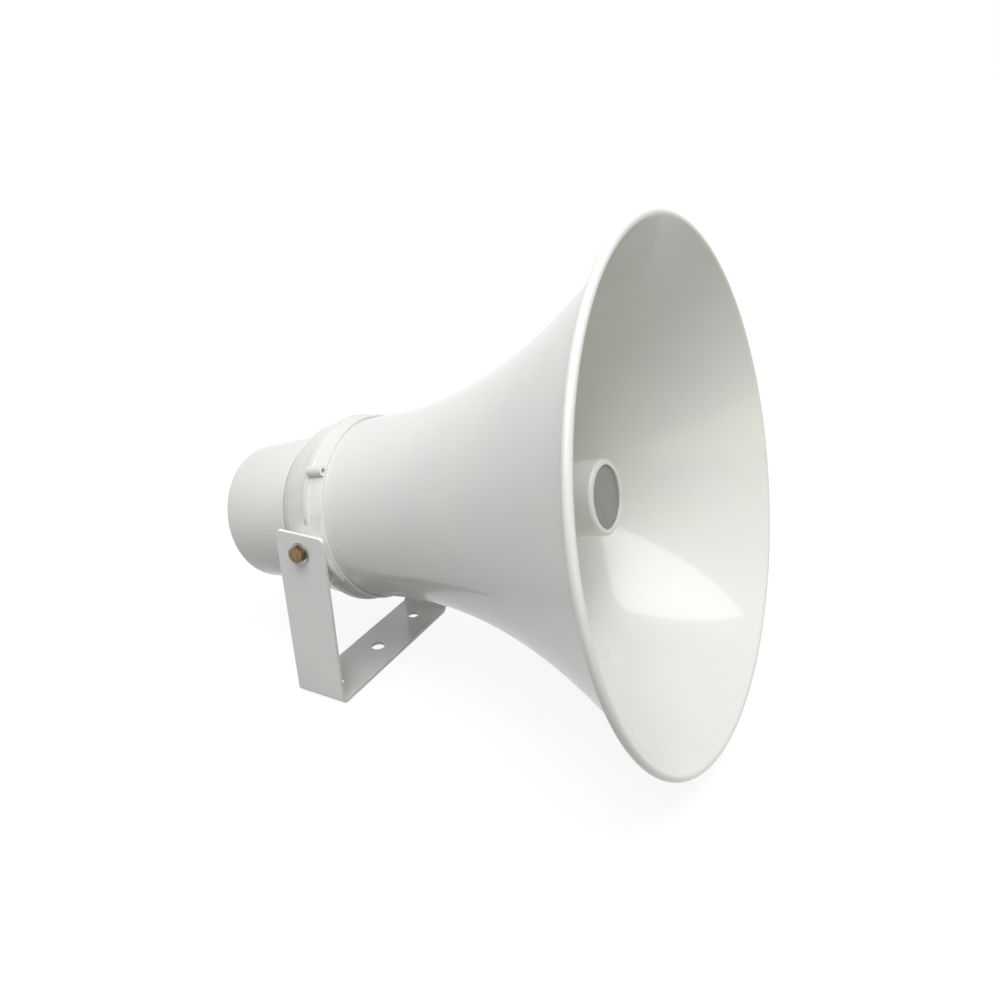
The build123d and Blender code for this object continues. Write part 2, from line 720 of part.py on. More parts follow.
def transformer_core():
    """The laminated core: two windows beside a centre limb twice as wide as the side limbs."""
    low = YOKE_REAR - CORE_HEIGHT
    body = upright_box(CORE_WIDTH, CORE_STACK, low, YOKE_REAR)
    window_width = (CORE_WIDTH - CORE_LIMB * 4) / 2
    window = upright_box(window_width, CORE_STACK, low + CORE_LIMB, YOKE_REAR - CORE_LIMB)
    offset = CORE_LIMB + window_width / 2
    for side in (-1, 1):
        body -= Pos(side * offset, 0, 0) * window
    return body


def transformer_winding():
    """The taped coil on the centre limb."""
    gap = WINDING_GAP
    low = YOKE_REAR - CORE_HEIGHT + CORE_LIMB + gap
    high = YOKE_REAR - CORE_LIMB - gap
    width = CORE_WIDTH - (CORE_LIMB + gap) * 2
    depth = CORE_STACK + WINDING_WALL * 2
    body = upright_box(width, depth, low, high)
    body = fillet(body.edges().filter_by(Axis.Z), WINDING_EDGE_R)
    return body - upright_box(CORE_LIMB * 2 + gap, CORE_STACK + gap, low, high)


def transformer_holder():
    """The bent strap that holds the core down on the yoke."""
    low = YOKE_REAR - CORE_HEIGHT - HOLDER_T
    outer = CORE_WIDTH + HOLDER_T * 2
    body = upright_box(outer, HOLDER_WIDTH, low, YOKE_REAR)
    body += upright_box(
        outer + HOLDER_FOOT * 2, HOLDER_WIDTH, YOKE_REAR - HOLDER_T, YOKE_REAR
    )
    body -= upright_box(CORE_WIDTH, HOLDER_WIDTH, low + HOLDER_T, YOKE_REAR)
    screw_r = M4[0] + SCREW_CLEARANCE
    return drilled(body, holder_screw_places(), screw_r, YOKE_REAR - HOLDER_T, YOKE_REAR)


def terminal_strip():
    """A small terminal block on the back of the transformer holder."""
    high = YOKE_REAR - CORE_HEIGHT - HOLDER_T
    low = high - STRIP_HEIGHT
    body = upright_box(STRIP_LENGTH, STRIP_WIDTH, low, high)
    pitch = STRIP_LENGTH / STRIP_WAYS
    places = []
    for index in range(STRIP_WAYS):
        places.append(((index + 0.5) * pitch - STRIP_LENGTH / 2, 0))
    body = drilled(body, places, STRIP_SCREW_R, low, low + STRIP_HEIGHT / 2)
    for x, _ in places:
        wire_way = rod(STRIP_SCREW_R, -STRIP_WIDTH / 2, STRIP_WIDTH / 2)
        body -= Pos(x, 0, (low + high) / 2) * Rot(90, 0, 0) * wire_way
    return body


def cover_posts():
    """Hexagonal posts screwed into the yoke that carry the rear cover."""
    stud_r = M4[0]
    posts = []
    for x, y in post_places():
        post = hexagon(POST_FLATS, COVER_INNER_REAR, YOKE_REAR, x, y)
        post += rod(stud_r, YOKE_REAR, YOKE_REAR + HOLDER_SCREW_BITE, x, y)
        hole_end = COVER_INNER_REAR + POST_SCREW_BITE
        post -= rod(stud_r + THREAD_CLEARANCE, COVER_INNER_REAR, hole_end, x, y)
        posts.append(post)
    return posts


def rear_cover():
    """The drawn rear cover: a slightly tapering can with a rounded closed end."""
    inner_rear_r = cover_inner_r(COVER_INNER_REAR)
    can = turned(
        [
            (0, -COVER_REAR),
            (COVER_REAR_R, -COVER_REAR),
            (COVER_FRONT_R, COVER_FRONT),
            (COVER_FRONT_R - COVER_WALL, COVER_FRONT),
            (inner_rear_r, COVER_INNER_REAR),
            (0, COVER_INNER_REAR),
        ],
        [0, COVER_EDGE_R, 0, 0, COVER_EDGE_R - COVER_WALL, 0],
    )
    screw_r = M4[0] + SCREW_CLEARANCE
    can = drilled(can, post_places(), screw_r, -COVER_REAR, COVER_INNER_REAR)
    gland_hole = rod(GLAND_THREAD_R + SEAT_FIT, -COVER_REAR, COVER_INNER_REAR, 0, -GLAND_DROP)
    return can - gland_hole


def gland_body():
    """The gland's threaded body with its hexagonal flange, seated on the rear cover."""
    flange_end = -COVER_REAR - GLAND_FLANGE_T
    neck_end = flange_end - GLAND_NECK
    inner_end = COVER_INNER_REAR + GLAND_INNER_THREAD
    body = rod(GLAND_THREAD_R, neck_end, inner_end, 0, -GLAND_DROP)
    body += hexagon(GLAND_FLATS, flange_end, -COVER_REAR, 0, -GLAND_DROP)
    body -= rod(GLAND_SEAL_R + SEAT_FIT, neck_end, flange_end, 0, -GLAND_DROP)
    return body - rod(GLAND_BORE_R, flange_end, inner_end, 0, -GLAND_DROP)


def gland_seal():
    """The rubber sleeve that would close on a cable."""
    high = -COVER_REAR - GLAND_FLANGE_T
    low = high - GLAND_NECK - GLAND_SEAL_STANDOUT
    return Pos(0, -GLAND_DROP, 0) * tube(GLAND_SEAL_R, GLAND_CABLE_R, low, high)


def gland_cap():
    """The domed nut that would squeeze the seal."""
    high = -COVER_REAR - GLAND_FLANGE_T - GLAND_CAP_GAP
    low = high - GLAND_CAP_LENGTH
    seal_end = -COVER_REAR - GLAND_FLANGE_T - GLAND_NECK - GLAND_SEAL_STANDOUT
    mouth_r = GLAND_SEAL_R - GLAND_CAP_LIP
    thread_r = GLAND_THREAD_R + THREAD_CLEARANCE
    cap = turned(
        [
            (mouth_r, low),
            (GLAND_CAP_R, low),
            (GLAND_CAP_R, high),
            (thread_r, high),
            (thread_r, seal_end),
            (mouth_r, seal_end),
        ],
        [0, GLAND_CAP_LIP, 0, 0, 0, 0],
    )
    return Pos(0, -GLAND_DROP, 0) * cap


def gland_nut():
    """The lock nut inside the rear cover."""
    high = COVER_INNER_REAR + GLAND_NUT_T
    nut = hexagon(GLAND_NUT_FLATS, COVER_INNER_REAR, high, 0, -GLAND_DROP)
    hole_r = GLAND_THREAD_R + THREAD_CLEARANCE
    return nut - rod(hole_r, COVER_INNER_REAR, high, 0, -GLAND_DROP)


def u_bracket():
    """The folded strap bracket, drawn in the row frame."""
    top = PIVOT_HEIGHT + LEG_ABOVE_PIVOT
    outer_r = BEND_INNER_R + STRAP_T
    outside = FilletPolyline(
        (-LEG_OUTER_X, 0, top),
        (-LEG_OUTER_X, 0, 0),
        (LEG_OUTER_X, 0, 0),
        (LEG_OUTER_X, 0, top),
        radius=outer_r,
    )
    inside = FilletPolyline(
        (-LEG_INNER_X, 0, top),
        (-LEG_INNER_X, 0, STRAP_T),
        (LEG_INNER_X, 0, STRAP_T),
        (LEG_INNER_X, 0, top),
        radius=BEND_INNER_R,
    )
    ends = [Line(outside @ 0, inside @ 0), Line(outside @ 1, inside @ 1)]
    section = make_face(Wire.combine([outside, inside] + ends)[0])
    strap = extrude(section, BRACKET_WIDTH / 2, dir=(0, 1, 0), both=True)
    corners = strap.edges().filter_by(Axis.X).group_by(Axis.Z)[-1]
    strap = fillet(corners, LEG_CORNER_R)
    strap -= Pos(0, 0, PIVOT_HEIGHT) * Rot(0, 90, 0) * Cylinder(PIVOT_HOLE_R, LEG_OUTER_X * 2)
    strap -= rod(BASE_MIDDLE_HOLE_R, 0, STRAP_T)
    for side in (-1, 1):
        strap -= rod(BASE_SIDE_HOLE_R, 0, STRAP_T, side * BASE_HOLE_SPREAD)
    return strap


def pivot_bolt():
    """A hexagon-head bolt along +Z, its head seat at the washer's outer face."""
    tip = HEAD_INNER_X - PIVOT_BOLT_LENGTH
    top = HEAD_INNER_X + PIVOT_HEAD_T
    head = hexagon(PIVOT_HEAD_FLATS, HEAD_INNER_X, top)
    corner_r = PIVOT_HEAD_FLATS / math.sqrt(3)
    crown = turned(
        [
            (0, HEAD_INNER_X),
            (corner_r, HEAD_INNER_X),
            (corner_r, top - PIVOT_HEAD_CHAMFER),
            (PIVOT_HEAD_FLATS / 2 - PIVOT_HEAD_CHAMFER / 2, top),
            (0, top),
        ]
    )
    return (head & crown) + rod(PIVOT_BOLT_R, tip, HEAD_INNER_X)


def both_sides(piece):
    """The piece, drawn along +Z, laid along the pivot on either side of the bracket."""
    pieces = []
    for side in (-1, 1):
        pieces.append(Pos(0, 0, PIVOT_HEIGHT) * Rot(0, side * 90, 0) * piece)
    return pieces


def horn_pieces():
    """Every piece drawn in the horn frame, by node name."""
    bell_places = ring_places(BELL_SCREWS, BELL_SCREW_PITCH_R)
    stays = ring_places(STAY_COUNT, STAY_PITCH_R, STAY_TURN)
    bell_seal = tube(NECK_R - BELL_FLANGE_BEND, BELL_FLANGE_INNER_R, SEAT_Z, BELL_FLANGE_Z)
    screw_r = M4[0] + SCREW_CLEARANCE
    bell_seal = drilled(bell_seal, bell_places, screw_r, SEAT_Z, BELL_FLANGE_Z)
    driver_seal = tube(PLATE_R, TUBE_SPIGOT_R, PLATE_FRONT, PLATFORM_Z)
    driver_hole_r = M5[0] + SCREW_CLEARANCE
    driver_seal = drilled(
        driver_seal, driver_screw_places(), driver_hole_r, PLATE_FRONT, PLATFORM_Z
    )
    stay = tube(STAY_R, screw_r, SEAT_Z, CUP_REAR_Z)
    bell_seat = BELL_FLANGE_Z + SHEET
    bell_tip = SEAT_Z - BELL_SCREW_BITE + TIP_ROOM
    cup_tip = SEAT_Z - STAY_SCREW_BITE + TIP_ROOM
    driver_tip = PLATFORM_Z + DRIVER_SCREW_BITE - TIP_ROOM
    motor_seat = PLATE_FRONT - M4[2] - SCREW_CLEARANCE
    motor_tip = TOP_PLATE_FRONT - MOTOR_SCREW_BITE + TIP_ROOM
    holder_tip = YOKE_REAR + HOLDER_SCREW_BITE - TIP_ROOM
    cover_tip = COVER_INNER_REAR + POST_SCREW_BITE - TIP_ROOM
    seal_inner_r = cover_inner_r(COVER_FRONT)
    cover_seal = tube(COVER_FRONT_R - SEAT_FIT, seal_inner_r, COVER_FRONT, CONE_END_Z)
    return {
        "bell": bell(),
        "bell_seal": bell_seal,
        "bell_screws": screws(M4, bell_seat, bell_tip, bell_places),
        "base_casting": base_casting(),
        "throat_tube": throat_tube(),
        "cup_stays": [Pos(x, y, 0) * stay for x, y in stays],
        "reflector_cup": reflector_cup(),
        "cup_screws": screws(M4, CUP_REAR_Z + TAB_T, cup_tip, stays),
        "boss_disc": rod(DISC_R, BOSS_FLOOR, BOSS_FLOOR + DISC_T),
        "driver_seal": driver_seal,
        "driver_plate": driver_plate(),
        "driver_screws": screws(M5, PLATE_REAR, driver_tip, driver_screw_places()),
        "phase_plug": phase_plug(),
        "diaphragm": diaphragm(),
        "voice_coil": tube(COIL_OUTER_R, COIL_R, COIL_FRONT - COIL_LENGTH, COIL_FRONT),
        "surround": surround(),
        "clamp_ring": tube(CLAMP_OUTER_R, CLAMP_INNER_R, CLAMP_REAR, PLUG_REAR),
        "top_plate": top_plate(),
        "motor_screws": screws(M4, motor_seat, motor_tip, motor_screw_places()),
        "magnet": tube(MAGNET_R, MAGNET_BORE_R, MAGNET_REAR, TOP_PLATE_REAR),
        "yoke": yoke(),
        "transformer_core": transformer_core(),
        "transformer_winding": transformer_winding(),
        "transformer_holder": transformer_holder(),
        "holder_screws": screws(M4, YOKE_REAR - HOLDER_T, holder_tip, holder_screw_places()),
        "terminal_strip": terminal_strip(),
        "cover_posts": cover_posts(),
        "cover_seal": cover_seal,
        "rear_cover": rear_cover(),
        "cover_screws": screws(M4, -COVER_REAR, cover_tip, post_places()),
        "gland_body": gland_body(),
        "gland_seal": gland_seal(),
        "gland_cap": gland_cap(),
        "gland_nut": gland_nut(),
    }


def bracket_pieces():
    """Every piece drawn in the row frame, by node name."""
    washer_hole_r = PIVOT_BOLT_R + SEAT_FIT
    washer = tube(WASHER_R, washer_hole_r, WASHER_INNER_X, HEAD_INNER_X)
    return {
        "u_bracket": u_bracket(),
        "pivot_bolts": both_sides(pivot_bolt()),
        "pivot_washers": both_sides(washer),
    }


def save(name, piece):
    """Writes one node; a list of like pieces becomes one group of separate solids."""
    if isinstance(piece, list):
        piece = Compound(children=piece)
    export_step(piece, os.path.join("parts", name + ".step"))


def main():
    os.makedirs("parts", exist_ok=True)
    for name, piece in horn_pieces().items():
        if isinstance(piece, list):
            save(name, [HORN_PLACE * one for one in piece])
        else:
            save(name, HORN_PLACE * piece)
    for name, piece in bracket_pieces().items():
        save(name, piece)


main()
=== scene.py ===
# %% [markdown]
# # A public-address horn speaker
# The speaker is a wide spun bell on a cast base, with a rear cover, a folded bracket and a small
# boss in the middle of the mouth. The imported model gives every piece its true place and size, and
# this lesson gives the pieces their surfaces and finishes. The first cell loads the model, which
# stays where it is.

# %% Load the model
import math

import bmesh
import bpy
import numpy as np
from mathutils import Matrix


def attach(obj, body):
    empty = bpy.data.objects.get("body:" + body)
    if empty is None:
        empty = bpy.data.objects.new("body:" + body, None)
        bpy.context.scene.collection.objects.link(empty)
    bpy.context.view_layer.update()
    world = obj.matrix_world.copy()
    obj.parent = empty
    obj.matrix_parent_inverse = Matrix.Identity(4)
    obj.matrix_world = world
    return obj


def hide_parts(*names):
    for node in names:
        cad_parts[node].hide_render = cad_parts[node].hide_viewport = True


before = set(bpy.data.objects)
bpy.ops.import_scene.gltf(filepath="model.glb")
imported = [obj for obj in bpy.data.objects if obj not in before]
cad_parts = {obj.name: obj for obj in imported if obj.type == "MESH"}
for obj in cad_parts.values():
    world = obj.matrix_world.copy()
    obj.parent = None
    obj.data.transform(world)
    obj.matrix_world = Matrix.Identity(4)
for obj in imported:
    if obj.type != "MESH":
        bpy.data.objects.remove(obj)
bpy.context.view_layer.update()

# %% [markdown]
# Everything in the horn is turned about one tilted axis. It is easiest to draw a profile as
# (radius, distance along the axis) in millimetres, and to carry it into the model's frame at the
# end. The axis leaves the pivot's plane four millimetres above the pivot and points out of the
# mouth, tilted up by 12.45 degrees.

# %% The horn's own axis
TILT = math.radians(12.45)
PIVOT_HEIGHT = 146.6
AXIS_ABOVE_PIVOT = 4.0
FORWARD = np.array([0.0, -math.cos(TILT), math.sin(TILT)])
UPWARD = np.array([0.0, math.sin(TILT), math.cos(TILT)])
SIDEWAYS = np.array([1.0, 0.0, 0.0])
AXIS_START = np.array([0.0, 0.0, PIVOT_HEIGHT]) + AXIS_ABOVE_PIVOT * UPWARD


def in_frame(across, up, along):
    """Turns horn measures in millimetres into model points in metres: start plus each measure
    times its direction."""
    across, up, along = np.broadcast_arrays(across, up, along)
    point = AXIS_START + across[..., None] * SIDEWAYS + up[..., None] * UPWARD
    return (point + along[..., None] * FORWARD) / 1000


print("axis start", AXIS_START.round(2), "forward", FORWARD.round(4))

# %% [markdown]
# The camera stands a little under half a metre from the nearest point of the bell's rim, so the
# picture has a strong perspective. Its place, its direction and its small roll were found by
# fitting the mouth, the boss, the ring and the bracket's corners. The lens is 32.4 mm on a 36 mm
# wide sensor.

# %% Camera
EYE = np.array([-0.58166, -0.46398, 0.48635])
SIGHT = np.array([0.795493, 0.441710, -0.414829])
RIGHT = np.array([0.470062, -0.881834, -0.037565])
LENS_MM = 32.4
SENSOR_MM = 36.0
NEAREST_SEEN = 0.01

camera_data = bpy.data.cameras.new("camera")
camera_data.lens = LENS_MM
camera_data.sensor_width = SENSOR_MM
camera_data.clip_start = NEAREST_SEEN
camera = bpy.data.objects.new("camera", camera_data)
bpy.context.scene.collection.objects.link(camera)
camera_pose = np.eye(4)
camera_pose[:3, 0] = RIGHT
camera_pose[:3, 1] = np.cross(RIGHT, SIGHT)
camera_pose[:3, 2] = -SIGHT
camera_pose[:3, 3] = EYE
camera.matrix_world = camera_pose.T
bpy.context.scene.camera = camera
bpy.context.scene.view_settings.view_transform = "Standard"
print("camera at", EYE, "lens", LENS_MM)

# %% [markdown]
# Finishes are node materials. Shader sums read best as plain expressions, so one small class
# wraps a socket: adding or multiplying it adds the Math node that does so. The finish itself
# keeps the node tree and makes every other node through one method.


# %% Writing shader sums as expressions
class Amount:
    """A shader socket that can be added to and multiplied, by another or by a number."""

    def __init__(self, finish, socket):
        self.finish = finish
        self.socket = socket

    def _sum(self, operation, other):
        inputs = {0: self, 1: other}
        return self.finish.node("ShaderNodeMath", {"operation": operation}, inputs)

    def __add__(self, other):
        return self._sum("ADD", other)

    def __mul__(self, other):
        return self._sum("MULTIPLY", other)


class Finish:
    """A material with one Principled shader, and the place of each point in Object space."""

    def __init__(self, name):
        self.material = bpy.data.materials.new(name + "_finish")
        self.material.use_nodes = True
        self.tree = self.material.node_tree
        self.shader = self.tree.nodes["Principled BSDF"]
        self.place = self.node("ShaderNodeTexCoord", {}, {}, "Object")

    def node(self, kind, settings, inputs, output=0):
        """Adds a node: its settings first, then a value or a link for each named input."""
        made = self.tree.nodes.new(kind)
        for name, value in settings.items():
            setattr(made, name, value)
        for name, value in inputs.items():
            self.give(made.inputs[name], value)
        return Amount(self, made.outputs[output])

    def give(self, socket, value):
        """Links an Amount to a socket, or sets the socket's own value."""
        if isinstance(value, Amount):
            self.tree.links.new(value.socket, socket)
        else:
            socket.default_value = value

    def noise(self, size, detail, place=None):
        """Soft random patches of about the given size in metres, from 0 to 1."""
        inputs = {"Vector": place or self.place, "Scale": 1.0 / size, "Detail": detail}
        return self.node("ShaderNodeTexNoise", {}, inputs, "Fac")

    def blend(self, share, first, second):
        """A colour between two colours, by a share from 0 to 1."""
        settings = {"data_type": "RGBA"}
        first_colour, second_colour, result = 6, 7, 2
        inputs = {0: share, first_colour: (*first, 1.0), second_colour: (*second, 1.0)}
        return self.node("ShaderNodeMix", settings, inputs, result)

    def ramp(self, value, low, high):
        """The value stretched so that low becomes 0 and high becomes 1, and held there."""
        inputs = {"Value": value, "From Min": low, "From Max": high}
        return self.node("ShaderNodeMapRange", {"clamp": True}, inputs, "Result")

    def raised(self, height, depth):
        """Sets the surface's fine relief, with its depth in metres."""
        inputs = {"Height": height, "Distance": depth, "Strength": 1.0}
        normal = self.node("ShaderNodeBump", {}, inputs, "Normal")
        self.give(self.shader.inputs["Normal"], normal)

    def set(self, **values):
        """Sets the shader's own sockets, with _ for a space in a name."""
        for name, value in values.items():
            self.give(self.shader.inputs[name.replace("_", " ")], value)


print("shader helpers ready")

# %% [markdown]
# White gloss paint lies on most of this speaker. Seen close, such paint isn't even: it has a fine
# orange-peel ripple a millimetre or two wide, slightly warmer and cooler patches, and a thin film
# of handling dust that makes some patches duller. The spun bell also keeps faint rings from the
# spinning tool under its paint. Each of these is one noise at its own size, given in metres.


# %% White gloss paint
PATCH_SIZE, DUST_SIZE, PEEL_SIZE = 0.11, 0.045, 0.0022
RINGS_PER_METRE, RING_WEIGHT = 130.0, 2.2
CLEAN_ROUGHNESS, DUST_ROUGHNESS = 0.27, 0.06
CLEAR_COAT, COAT_ROUGHNESS, PAINT_INDEX = 0.50, 0.04, 1.48


def gloss_paint(name, light, shade, ripple, rings=False):
    """Paint that wanders between two near-white colours, with orange peel and dull patches."""
    paint = Finish(name)
    patches = paint.ramp(paint.noise(PATCH_SIZE, detail=2.0), low=0.35, high=0.65)
    colour = paint.blend(patches, light, shade)
    dust = paint.ramp(paint.noise(DUST_SIZE, detail=4.0), low=0.25, high=0.80)
    height = paint.noise(PEEL_SIZE, detail=2.0)
    if rings:
        along = paint.node(
            "ShaderNodeVectorMath",
            {"operation": "DOT_PRODUCT"},
            {0: paint.place, 1: tuple(FORWARD)},
            "Value",
        )
        ring = paint.node(
            "ShaderNodeTexNoise",
            {"noise_dimensions": "1D"},
            {"W": along, "Scale": RINGS_PER_METRE, "Detail": 2.0},
            "Fac",
        )
        height = height + ring * RING_WEIGHT
    paint.raised(height, ripple)
    paint.set(Base_Color=colour, Roughness=dust * DUST_ROUGHNESS + CLEAN_ROUGHNESS)
    paint.set(Coat_Weight=CLEAR_COAT, Coat_Roughness=COAT_ROUGHNESS, IOR=PAINT_INDEX)
    return paint.material


WARM_WHITE = (0.800, 0.800, 0.765)
COOL_WHITE = (0.770, 0.778, 0.752)
bell_paint = gloss_paint("bell_paint", WARM_WHITE, COOL_WHITE, 0.00003, rings=True)
casting_paint = gloss_paint("casting_paint", (0.79, 0.79, 0.76), (0.75, 0.755, 0.73), 0.00005)
# The bracket's white is lighter than the casting's to add painted light to its base, which lies in
# shade under the bell.
bracket_paint = gloss_paint("bracket_paint", (0.88, 0.88, 0.86), (0.84, 0.845, 0.83), 0.00004)
print("paints", bell_paint.name, casting_paint.name, bracket_paint.name)

# %% [markdown]
# Bare metals differ in colour, in how their polish wanders, and in the grain left by the tool.
# One recipe makes them all: tints that change in patches, and a fine grain in the roughness and
# the relief, which is stretched along one direction on the core, the wire and the disc.


# %% Metals
GRAIN_SIZE, GRAIN_DEPTH, GRAIN_ROUGHNESS = 0.0006, 0.00001, 0.18


def metal(name, light, dark, roughness, grain=(1.0, 1.0, 1.0), patch=0.004, bareness=1.0):
    """Metal between two tints with a stretched grain in its roughness and relief."""
    finish = Finish(name)
    stretched = finish.node(
        "ShaderNodeMapping", {}, {"Vector": finish.place, "Scale": grain}, "Vector"
    )
    tint = finish.ramp(finish.noise(patch, detail=3.0), low=0.30, high=0.70)
    scratches = finish.noise(GRAIN_SIZE, detail=3.0, place=stretched)
    finish.raised(scratches, GRAIN_DEPTH)
    finish.set(Base_Color=finish.blend(tint, light, dark))
    smoothest = roughness - GRAIN_ROUGHNESS / 2
    finish.set(Roughness=scratches * GRAIN_ROUGHNESS + smoothest, Metallic=bareness)
    return finish.material


zinc_yellow = metal("zinc_yellow", (0.27, 0.19, 0.10), (0.15, 0.105, 0.06), 0.36)
screw_steel = metal("screw_steel", (0.42, 0.43, 0.43), (0.26, 0.27, 0.28), 0.30)
plated_steel = metal("plated_steel", (0.56, 0.57, 0.58), (0.44, 0.45, 0.47), 0.36)
core_steel = metal("core_steel", (0.20, 0.21, 0.22), (0.13, 0.13, 0.14), 0.55, (1, 1, 0.05))
cast_alloy = metal("cast_alloy", (0.58, 0.59, 0.59), (0.47, 0.48, 0.49), 0.45)
copper_wire = metal("copper_wire", (0.55, 0.22, 0.10), (0.38, 0.14, 0.06), 0.35, (1, 0.1, 1))
disc_metal = metal(
    "disc_metal", (0.275, 0.282, 0.268), (0.245, 0.252, 0.240), 0.42, (0.08, 1, 1), 0.012, 0.35
)
print("metals made")

# %% [markdown]
# The soft and moulded materials are matte: black and pale rubber seals, moulded plastic, the
# diaphragm's film, the tape round the winding and the hard, dark ferrite of the magnet. Each takes
# two close colours and a relief at the size of its own texture.


# %% Rubber, plastic, tape and ferrite
TEXTURE_ROUGHNESS, TEXTURE_MEAN = 0.15, 0.07


def matte(name, light, dark, roughness, patch, relief):
    """A dull finish between two tints, with a relief as fine as a tenth of its patches."""
    finish = Finish(name)
    tint = finish.ramp(finish.noise(patch, detail=4.0), low=0.30, high=0.70)
    texture = finish.noise(patch / 10, detail=3.0)
    finish.raised(texture, relief)
    finish.set(Base_Color=finish.blend(tint, light, dark))
    finish.set(Roughness=texture * TEXTURE_ROUGHNESS + (roughness - TEXTURE_MEAN))
    return finish.material


seal_rubber = matte("seal_rubber", (0.022, 0.022, 0.023), (0.012, 0.012, 0.012), 0.75, 0.01, 4e-5)
pale_rubber = matte("pale_rubber", (0.62, 0.62, 0.60), (0.55, 0.55, 0.53), 0.60, 0.01, 3e-5)
ferrite = matte("ferrite", (0.035, 0.035, 0.038), (0.020, 0.020, 0.022), 0.60, 0.008, 3e-5)
black_plastic = matte(
    "black_plastic", (0.020, 0.021, 0.023), (0.014, 0.014, 0.016), 0.45, 0.02, 2e-5
)
dome_film = matte("dome_film", (0.45, 0.26, 0.09), (0.36, 0.20, 0.07), 0.40, 0.01, 1e-5)
winding_tape = matte("winding_tape", (0.66, 0.46, 0.08), (0.55, 0.37, 0.06), 0.45, 0.01, 4e-5)
strip_plastic = matte("strip_plastic", (0.76, 0.74, 0.66), (0.70, 0.68, 0.60), 0.50, 0.02, 2e-5)
gland_plastic = matte("gland_plastic", (0.57, 0.58, 0.57), (0.50, 0.51, 0.50), 0.40, 0.02, 2e-5)
print("matte finishes made")

# %% [markdown]
# A piece of sheet turned about an axis is one closed profile carried round a circle. The profile
# is an array of (radius, along) pairs, so the whole surface is a single array product. Points on
# the axis fall together and are merged, and the normals are made to point outwards afterwards.


# %% Turning a profile
BELL_AROUND, REFLECTOR_AROUND, COVER_AROUND, DISC_AROUND = 288, 160, 192, 128
TURNED_SHARP_ANGLE = 35.0
MERGE_DISTANCE, SLIVER_EDGE = 2e-6, 1e-7


def turned_piece(name, profile, around):
    """Carries a closed profile round the axis: each point becomes the circle
    (radius * cos turn, radius * sin turn, along)."""
    turn = np.linspace(0, 2 * math.pi, around, endpoint=False)
    radius, along = profile[:, 0, None], profile[:, 1, None]
    points = in_frame(radius * np.cos(turn), radius * np.sin(turn), along).reshape(-1, 3)
    ring = np.arange(len(profile))[:, None]
    step = np.arange(around)[None, :]
    next_ring, next_step = (ring + 1) % len(profile), (step + 1) % around
    quads = np.stack(
        [
            ring * around + step,
            ring * around + next_step,
            next_ring * around + next_step,
            next_ring * around + step,
        ],
        axis=-1,
    ).reshape(-1, 4)
    mesh = bpy.data.meshes.new(name)
    mesh.from_pydata(points.tolist(), [], quads.tolist())
    return finished(name, mesh, TURNED_SHARP_ANGLE)


def finished(name, mesh, sharp):
    """Merges doubles, points the faces outwards and shades smoothly up to an angle."""
    work = bmesh.new()
    work.from_mesh(mesh)
    bmesh.ops.remove_doubles(work, verts=work.verts, dist=MERGE_DISTANCE)
    bmesh.ops.dissolve_degenerate(work, edges=work.edges, dist=SLIVER_EDGE)
    bmesh.ops.recalc_face_normals(work, faces=work.faces)
    work.to_mesh(mesh)
    work.free()
    mesh.polygons.foreach_set("use_smooth", np.ones(len(mesh.polygons), dtype=bool))
    mesh.set_sharp_from_angle(angle=math.radians(sharp))
    piece = bpy.data.objects.new(name, mesh)
    bpy.context.scene.collection.objects.link(piece)
    print(name, "faces", len(mesh.polygons))
    return piece


def dress(piece, finish, node, body):
    """Gives a piece its finish, and says which solid it replaces and what it moves with."""
    piece.data.materials.append(finish)
    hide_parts(node)
    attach(piece, body)


def arc(centre, radius, start, end, steps):
    """Points on a circle from one angle to another, in degrees, as (radius, along) pairs."""
    turn = np.radians(np.linspace(start, end, steps))
    return np.column_stack(
        [centre[0] + radius * np.cos(turn), centre[1] + radius * np.sin(turn)]
    )


# %% [markdown]
# The bell is spun from one sheet, 1.5 mm thick. Its radius grows with a power of the distance,
# slowly at the neck and fast at the mouth, and the edge is rolled back into a bead that stiffens
# it. The middle line is worked out first, and the two faces lie half a sheet to each side of it,
# along its normal. The lip's place depends on the slope there, so that slope is first taken from a
# flare that ends at the middle of the roll. A turned surface fits the bell best, because the
# highlights need an even flow.

# %% The bell's law
NECK_RADIUS, MOUTH_RADIUS, SHEET = 78.5, 200.0, 1.5
FLANGE_FACE, BEND, FLANGE_INNER = 23.0, 3.0, 66.0
MOUTH_ALONG, ROLL_RADIUS, GROWTH = 307.0, 3.5, 2.05

bell_low = FLANGE_FACE + BEND
roll_middle = ROLL_RADIUS - SHEET / 2
roll_centre_guess = MOUTH_RADIUS - ROLL_RADIUS
edge_tilt = math.atan(GROWTH * (roll_centre_guess - NECK_RADIUS) / (MOUTH_ALONG - bell_low))
lip_radius = roll_centre_guess - roll_middle * math.cos(edge_tilt)
lip_along = MOUTH_ALONG + roll_middle * math.sin(edge_tilt)
neck_middle = NECK_RADIUS - SHEET / 2


def bell_face(side, steps=120):
    """The flare's middle line, neck + rise * share ** growth, moved half a sheet sideways."""
    share = np.linspace(0, 1, steps)
    rise, length = lip_radius - neck_middle, lip_along - bell_low
    slope = rise * GROWTH / length * share ** (GROWTH - 1)
    tilt = np.arctan(slope)
    radius = neck_middle + rise * share**GROWTH + side * SHEET / 2 * np.cos(tilt)
    along = bell_low + length * share - side * SHEET / 2 * np.sin(tilt)
    return np.column_stack([radius, along]), tilt[-1]


outer_face, mouth_tilt = bell_face(1)
inner_face, _ = bell_face(-1)
roll_centre = (
    lip_radius + roll_middle * math.cos(mouth_tilt),
    lip_along - roll_middle * math.sin(mouth_tilt),
)
print("lip", round(lip_radius, 2), round(lip_along, 2), "tilt", round(math.degrees(mouth_tilt), 1))

